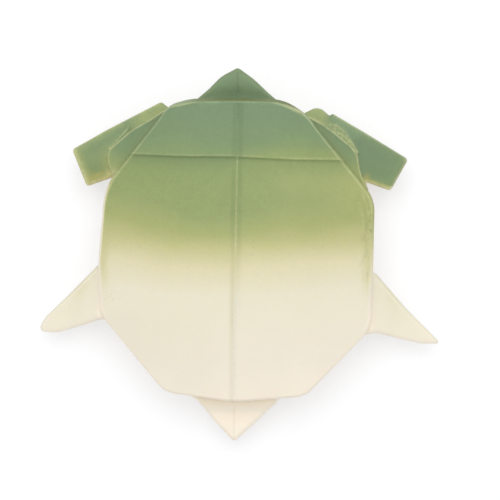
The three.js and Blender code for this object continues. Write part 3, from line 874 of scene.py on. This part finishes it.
FLIPPERS = {  # plans in mm with x towards the flipper's side
    "right": {
        "root": [
            (18.0, 39.4, 1.5),
            (12.5, 34.5, 0.5),
            (29.5, 13.8, 0.5),
            (36.6, 15.4, 0.6),
            (36.3, 18.3, 6),
        ],
        "blade": [
            (35.4, 20.75, 0.3),
            (42.3, 18.4, 1.0),
            (47.1, 27.2, 1.0),
            (35.3, 34.2, 60),
            (26.0, 39.5, 0.5),
        ],
        "lobe": [
            (25.2, 38.8, 0.4),
            (22.1, 41.5, 3),
        ],
        "fold": [
            (17.8, 39.3),
            (20.4, 38.0),
            (22.6, 36.9),
            (24.6, 35.6),
            (26.3, 34.4),
            (29.7, 31.7),
            (31.1, 30.6),
            (32.2, 29.4),
            (33.0, 28.1),
            (33.3, 26.7),
            (33.5, 25.4),
            (33.8, 23.9),
            (34.4, 22.0),
            (35.2, 20.4),
            (36.1, 18.2),
            (36.6, 16.0),
        ],
        "ply": [
            (25.5, 39.6),
            (25.3, 38.7),
            (25.2, 37.7),
            (26.8, 36.5),
            (28.6, 35.3),
            (30.0, 33.6),
            (31.4, 31.7),
            (32.5, 30.0),
            (33.2, 28.4),
        ],
        "ply_step": 0.5,  # the lower ply stands this much over the blade
        "ridges": [
            [(27.0, 36.4), (28.5, 35.2), (29.7, 34.2), (30.8, 32.6), (31.9, 31.0), (33.1, 28.9)],
            [(26.3, 34.6), (27.5, 34.0), (28.8, 33.6), (30.0, 32.6), (30.8, 31.6)],
        ],
        "band": (23, 27),  # the lower ply's straw paint ends between these places
        "rough": 1.0,  # how torn the lower ply looks
        "fold_worn": 0.65,  # pale lines: the fold, the leading edge, the end, the web
        "lead_worn": 0.4,
        "pale_end": 0.2,
        "pale_width": 0.9,
        "bare_end": 0.2,
        "worn_web": 0.0,
        "thick": 0.7,  # the blade's paint: thickness, depth, and depth at the rear
        "shade_and_dark_paint": 0.15,
        "low_deep": 0.0,
        # a painted shadow in a notch of the plies
        "painted_shadow_spot": (25.7, 39.3),
        "glow": 0.0,  # warm tints: beside the fold, along the rear edge, round the edge
        "amber": 0.35,
        "trail": (0.6, 1.6),  # the rear edge's tint fades between these distances
        "border": 0.15,
    },
    "left": {
        "root": [
            (19.0, 40.2, 1.0),
            (12.5, 34.5, 0.5),
            (29.5, 13.8, 0.5),
        ],
        "blade": [
            (32.8, 21.6, 1.5),
            (41.9, 18.3, 1.0),
            (46.3, 28.5, 1.0),
            (36.8, 34.0, 60),
            (21.5, 42.1, 1.0),
        ],
        "lobe": [],
        "fold": [
            (18.6, 40.4),
            (21.1, 39.2),
            (23.3, 37.7),
            (25.5, 36.3),
            (28.5, 34.6),
            (30.1, 33.4),
            (31.8, 32.0),
            (33.2, 30.7),
            (35.4, 28.7),
            (35.8, 27.6),
            (35.9, 26.2),
            (35.7, 24.5),
            (35.0, 22.9),
            (34.0, 21.0),
        ],
        "ply": [
            (33.4, 37.0),
            (31.6, 35.8),
            (30.6, 34.8),
            (31.2, 34.0),
            (31.9, 33.1),
            (32.7, 32.2),
            (33.9, 30.8),
            (35.3, 29.2),
            (36.0, 27.8),
        ],
        "ply_step": 0.12,
        "ridges": [[(30.5, 34.7), (31.6, 33.3), (33.2, 31.4), (34.4, 30.1), (35.6, 28.8)]],
        "band": (26, 33),
        "rough": 0.0,
        "fold_worn": 0.55,
        "lead_worn": 0.5,
        "pale_end": 0.62,
        "pale_width": 1.8,
        "bare_end": 0.5,
        "worn_web": 0.7,
        "thick": 0.25,
        "shade_and_dark_paint": 0.0,
        "low_deep": 0.3,
        "painted_shadow_spot": (29.8, 34.3),
        "glow": 0.5,
        "amber": 0.6,
        "trail": (0.4, 2.0),
        "border": 0.55,
    },
}

for name, mirror in (("right", 1), ("left", -1)):
    flipper = FLIPPERS[name]
    flip = np.array([mirror, 1])
    outline = flipper["root"] + flipper["blade"] + flipper["lobe"]
    corners = [(px * mirror, py, radius) for px, py, radius in outline]
    blade_plan = rounded(corners if mirror > 0 else corners[::-1], TAB_STEP)
    fold = resampled(np.array(flipper["fold"]), TAB_STEP, closed=False)
    ply = resampled(np.array(flipper["ply"]), TAB_STEP, closed=False)
    ridges = [resampled(np.array(ridge), RIDGE_STEP, closed=False) for ridge in flipper["ridges"]]
    drawn = [(fold * flip, [0, *FOLD_ROWS]), (ply * flip, [0, *FOLD_ROWS[2:-2]])]
    drawn += [(ridge * flip, RIDGE_ROWS) for ridge in ridges]
    plan, triangles = sheet(blade_plan, TAB_INSETS, drawn, BLADE_SPACING)
    inset = measured(blade_plan, plan, True)[0]
    shown = plan * flip
    out = (shown - SHOULDER_MIDDLE) @ SHOULDER_OUT
    along = (shown - SHOULDER_MIDDLE) @ SHOULDER_ALONG

    to_fold = measured(fold, shown, False)[0]
    past_fold = np.where(inside([*fold, *UNDER_FOLD], shown), -to_fold, to_fold)
    to_ply = measured(ply, shown, False)[0]
    past_ply = np.where(inside([*ply, *UNDER_PLY], shown), -to_ply, to_ply)
    to_ridge = np.min([measured(ridge, shown, False)[0] for ridge in ridges], axis=0)
    blade = [corner[:2] for corner in flipper["blade"]]
    to_rear = measured(blade[:2], shown, False)[0]
    to_end = measured(blade[1:3], shown, False)[0]
    to_lead = measured(blade[2:], shown, False)[0]
    to_shell = measured(shell_plan, plan, True)[0]

    on_fold = smooth(-past_fold, -0.2, 0.15)
    on_ply = smooth(-past_ply, -0.2, 0.2) * (1 - on_fold)
    on_blade = 1 - np.maximum(on_fold, on_ply)
    lumps = rough(shown, 0.9, 7.3) + 0.5 * rough(shown, 0.4, 2.7)
    torn = flipper["rough"] * on_ply * smooth(along, -8, -5)
    surface = BLADE_TOP - BLADE_SLOPE * np.maximum(out, -3)
    surface += flipper["ply_step"] * np.maximum(smooth(-past_ply, -0.2, 0.25), on_fold)
    surface += FOLD_STEP * on_fold + FOLD_LIP * bell(past_fold + 0.3, 0.3)
    surface += RIDGE_HEIGHT * bell(to_ridge, 0.3) + LUMP_HEIGHT * torn * lumps
    sloped = BLADE_TOP - BLADE_SLOPE * out
    lower = sloped - BLADE_THICKNESS - ROOT_DROP * smooth(-out, 0, 4)
    centre = sloped - BLADE_THICKNESS * 0.45
    rim = rounded_edge(inset, BLADE_EDGE)

    low_end = smooth(along, 4, 10)
    glow = flipper["glow"] * on_blade
    beside_fold = glow * np.exp(-np.maximum(past_fold, 0) / 1.6) * smooth(along, -5, -2)
    warm = glow * (0.8 - 0.5 * smooth(to_rear, 1.0, 5) - 0.4 * smooth(to_end, 0.8, 4.5))
    line = 0.9 * glow * bell(to_rear - 1.9, 0.8)
    trail = (1 - smooth(to_rear, *flipper["trail"])) * on_blade
    low_part = (1 - smooth(to_rear, 3.5, 8)) * smooth(to_end, 0.8, 3)
    worn = [
        flipper["fold_worn"] * bell(past_fold + 0.1, 0.22) * smooth(out, -1.2, -0.4),
        0.6 * bell(to_ridge, 0.25) * (0.7 + 0.6 * lumps),
        flipper["pale_end"] * (1 - smooth(to_end, 0.4, flipper["pale_width"])),
        0.45 * torn * smooth(lumps, 0.2, 0.7),
        0.5 * spot(shown, blade[2], 1.2),
        flipper["lead_worn"] * (1 - smooth(to_lead, 0.15, 0.55)),
        0.7 * trail * (1 - smooth(inset, 0.4, 1.2)),
        flipper["worn_web"] * spot(shown, WEB, 1.6),
    ]
    # painted shade on the fold beside the shell, along the leading edge and in a notch of the plies,
    # besides the blade's darker paint
    shade_and_dark_paint = [
        0.06 * on_fold * bell(to_shell, 1.2) * (1 - low_end),
        flipper["shade_and_dark_paint"] * on_blade * (1 - trail),
        flipper["low_deep"] * on_blade * low_part,
        0.08 * (1 - smooth(to_lead, 0.4, 1.0)),
        line,
        spot(shown, flipper["painted_shadow_spot"], 0.7),
    ]
    straw = [
        0.85 * on_ply * (1 - smooth(shown[:, 0], *flipper["band"])),
        0.5 * torn,
        0.35 * on_fold * low_end,
        beside_fold,
        flipper["border"] * (1 - smooth(inset, 0.2, 3.2)) * on_blade,
    ]
    amber = [
        flipper["amber"] * trail,
        0.45 * spot(shown, TUCK, 1.0),
        # brown painted shade on the fold beside the shell
        0.12 * on_fold * np.exp(-to_shell / 0.9),
        0.5 * beside_fold * low_end,
        warm,
        line,
    ]
    bare = [
        0.6 * trail * (1 - smooth(inset, 0.2, 0.8)),
        flipper["bare_end"] * (1 - smooth(to_end, 0.15, 0.6)),
    ]
    # the fold's upper part is darkened as painted shade
    spray_and_painted_light = flipper["thick"] * on_blade * (1 - trail) + 0.18 * on_fold * (1 - low_end)
    piece = solid_sheet(
        f"front_{name}_flipper_skin",
        blade_plan,
        plan,
        triangles,
        centre + (surface - centre) * rim,
        centre - (centre - lower) * rim,
        {
            "worn": (np.maximum.reduce(worn), 0),
            "shade_and_dark_paint": (np.maximum.reduce(shade_and_dark_paint), 0.2),
            "thick": (spray_and_painted_light, 0),
            "straw": (np.maximum.reduce(straw), 0),
            "amber": (np.maximum.reduce(amber), 0.3),
            "bare": (np.maximum.reduce(bare), 0.5),
        },
    )
    piece.data.materials.append(rubber)
    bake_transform(piece)
    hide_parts(f"front_{name}_flipper")

# Rear flippers: solid pointed blades of bare cream rubber, swept to the rear.
# They grow out of the flank with a soft web behind them, part of the same casting. Painted light
# lightens their roots and all edges but the leading one, which painted shade darkens.

FIN_ROOT = 38  # how far from the middle the fins come out
FIN_TOP = 10.6
FIN_RISE = 2.6  # the top rises this much to the shell
FIN_FALL = 9.0  # and has lost that rise this far out
FIN_SLOPE = 0.13
FIN_THICKNESS = 3.2
FIN_EDGE = 1.3
FINS = {  # plans in mm with x towards the fin's side
    "right": [
        (31.5, -4, 0.5),
        (31.5, -20, 0.5),
        (35.2, -21.6, 1.0),
        (39, -20.9, 6),
        (46.2, -22.6, 30),
        (51.5, -23.8, 12),
        (57.2, -23.8, 0.6),
        (47.0, -13.9, 60),
        (38.9, -4.7, 4),
        (36.5, -3.2, 0.5),
    ],
    "left": [
        (31.5, -3, 0.5),
        (31.5, -18, 0.5),
        (34.4, -18.7, 1.0),
        (37.6, -18.5, 4),
        (42.3, -20.3, 40),
        (50.2, -22.7, 10),
        (55.4, -22.4, 1.2),
        (53.6, -18.6, 8),
        (47.7, -12.9, 60),
        (38.3, -3.4, 4),
        (36.5, -2.4, 0.5),
    ],
}

for name, mirror in (("right", 1), ("left", -1)):
    corners = [(px * mirror, py, radius) for px, py, radius in FINS[name]]
    fin_plan = rounded(corners if mirror > 0 else corners[::-1], TAB_STEP)
    plan, triangles = sheet(fin_plan, TAB_INSETS, [], TAB_SPACING)
    inset = measured(fin_plan, plan, True)[0]
    to_lead = measured([corner[:2] for corner in corners[6:-1]], plan, False)[0]
    out = plan[:, 0] * mirror - FIN_ROOT
    # painted light: lighter at the edges and at the root by the shell
    painted_edge_light = 1 - smooth(np.minimum(inset, out + 0.5), 0, 1.4)
    surface = FIN_TOP - FIN_SLOPE * np.maximum(out, -3)
    thick = FIN_THICKNESS + (ROOT_THICKNESS - FIN_THICKNESS) * smooth(-out, 0, 4.5)
    thick *= 0.75 + 0.25 * smooth(inset, 0.5, 3.5)
    rim = rounded_edge(inset, FIN_EDGE)
    lower = surface - thick
    surface += FIN_RISE * (1 - np.clip((out + 0.5) / FIN_FALL, 0, 1)) ** 1.4
    centre = (surface + lower) / 2
    piece = solid_sheet(
        f"rear_{name}_flipper_skin",
        fin_plan,
        plan,
        triangles,
        centre + (surface - centre) * rim,
        centre - (centre - lower) * rim,
        {
            # painted light on the edges and root, except along the leading edge, which is darkened
            # with painted shade
            "thick": (0.4 * smooth(out, 1, 6) - 1.2 * painted_edge_light * smooth(to_lead, 0.3, 1.2), 0),
            "shade_and_dark_paint": (0.1 * (1 - smooth(to_lead, 0.15, 0.5)), 0),
            "bare": (np.zeros(len(plan)), 0.6),
        },
    )
    piece.data.materials.append(rubber)
    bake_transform(piece)
    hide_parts(f"rear_{name}_flipper")

# Floor and light: a plain white table top under a soft studio light from above and ahead.
# The table is seen nearly white, and keeps a faint shadow.

FLOOR_SIZE = 6.0
FLOOR_GAP = 0.0001  # under the belly
FLOOR_LIFT = 0.5  # share of plain white in what the camera sees of the table
TABLE_COLOUR = (0.945, 0.957, 0.99, 1)
WHITE = (1, 1, 1, 1)
SKY_STRENGTH = 0.8
LAMP_SIZE = (1.0, 0.8)
LAMP_POWER = 5.5
LAMP_PLACE = (0.02, 0.42, 1.0)

bpy.ops.mesh.primitive_plane_add(size=FLOOR_SIZE, location=(0, 0, -FLOOR_GAP))
floor = bpy.context.object
floor.name = "floor"
white = bpy.data.materials.new("white_table")
white.use_nodes = True
tree = white.node_tree
seen = Socket(tree, tree.nodes.new("ShaderNodeLightPath").outputs["Is Camera Ray"])
paper = tree.nodes["Principled BSDF"]
paper.inputs["Base Color"].default_value = TABLE_COLOUR
paper.inputs["Roughness"].default_value = 0.9
paper.inputs["Specular IOR Level"].default_value = 0.1
shine = seen.node("ShaderNodeEmission", {"Color": WHITE, "Strength": 1.0})
inputs = {0: seen * FLOOR_LIFT, 1: Socket(tree, paper.outputs[0]), 2: shine}
table = seen.node("ShaderNodeMixShader", inputs)
tree.links.new(table.output, tree.nodes["Material Output"].inputs["Surface"])
floor.data.materials.append(white)

world = bpy.data.worlds.new("studio")
scene.world = world
world.use_nodes = True
sky = world.node_tree.nodes["Background"]
sky.inputs["Color"].default_value = WHITE
sky.inputs["Strength"].default_value = SKY_STRENGTH

lamp_data = bpy.data.lights.new("softbox", "AREA")
lamp_data.shape = "RECTANGLE"
lamp_data.size, lamp_data.size_y = LAMP_SIZE
lamp_data.energy = LAMP_POWER
lamp = bpy.data.objects.new("softbox", lamp_data)
lamp.location = LAMP_PLACE
lamp.rotation_mode = "QUATERNION"
lamp.rotation_quaternion = (-lamp.location).to_track_quat("-Z", "Y")
scene.collection.objects.link(lamp)

# Camera: nearly straight above the turtle, a little to its right and ahead of it.
# It is far enough away that the flippers hardly look smaller than the shell.

CAMERA_DISTANCE = 0.62
PICTURE_WIDTH = 0.1379
LEAN_RIGHT = math.radians(2.8)
LEAN_AHEAD = math.radians(1.5)
ROLL = math.radians(0.9)
AIM = Vector((0.0039, 0.0015, 0.013))

camera_data = bpy.data.cameras.new("camera")
camera_data.sensor_width = 36
camera_data.lens = camera_data.sensor_width * CAMERA_DISTANCE / PICTURE_WIDTH
camera = bpy.data.objects.new("camera", camera_data)
back = Vector((math.tan(LEAN_RIGHT), math.tan(LEAN_AHEAD), 1)).normalized()
up = Matrix.Rotation(ROLL, 3, back) @ Vector((0, 1, 0))
right = up.cross(back).normalized()
up = back.cross(right)
turned = Matrix((right, up, back)).transposed().to_4x4()
camera.matrix_world = Matrix.Translation(AIM + back * CAMERA_DISTANCE) @ turned
scene.collection.objects.link(camera)
scene.camera = camera
scene.view_settings.view_transform = "Standard"
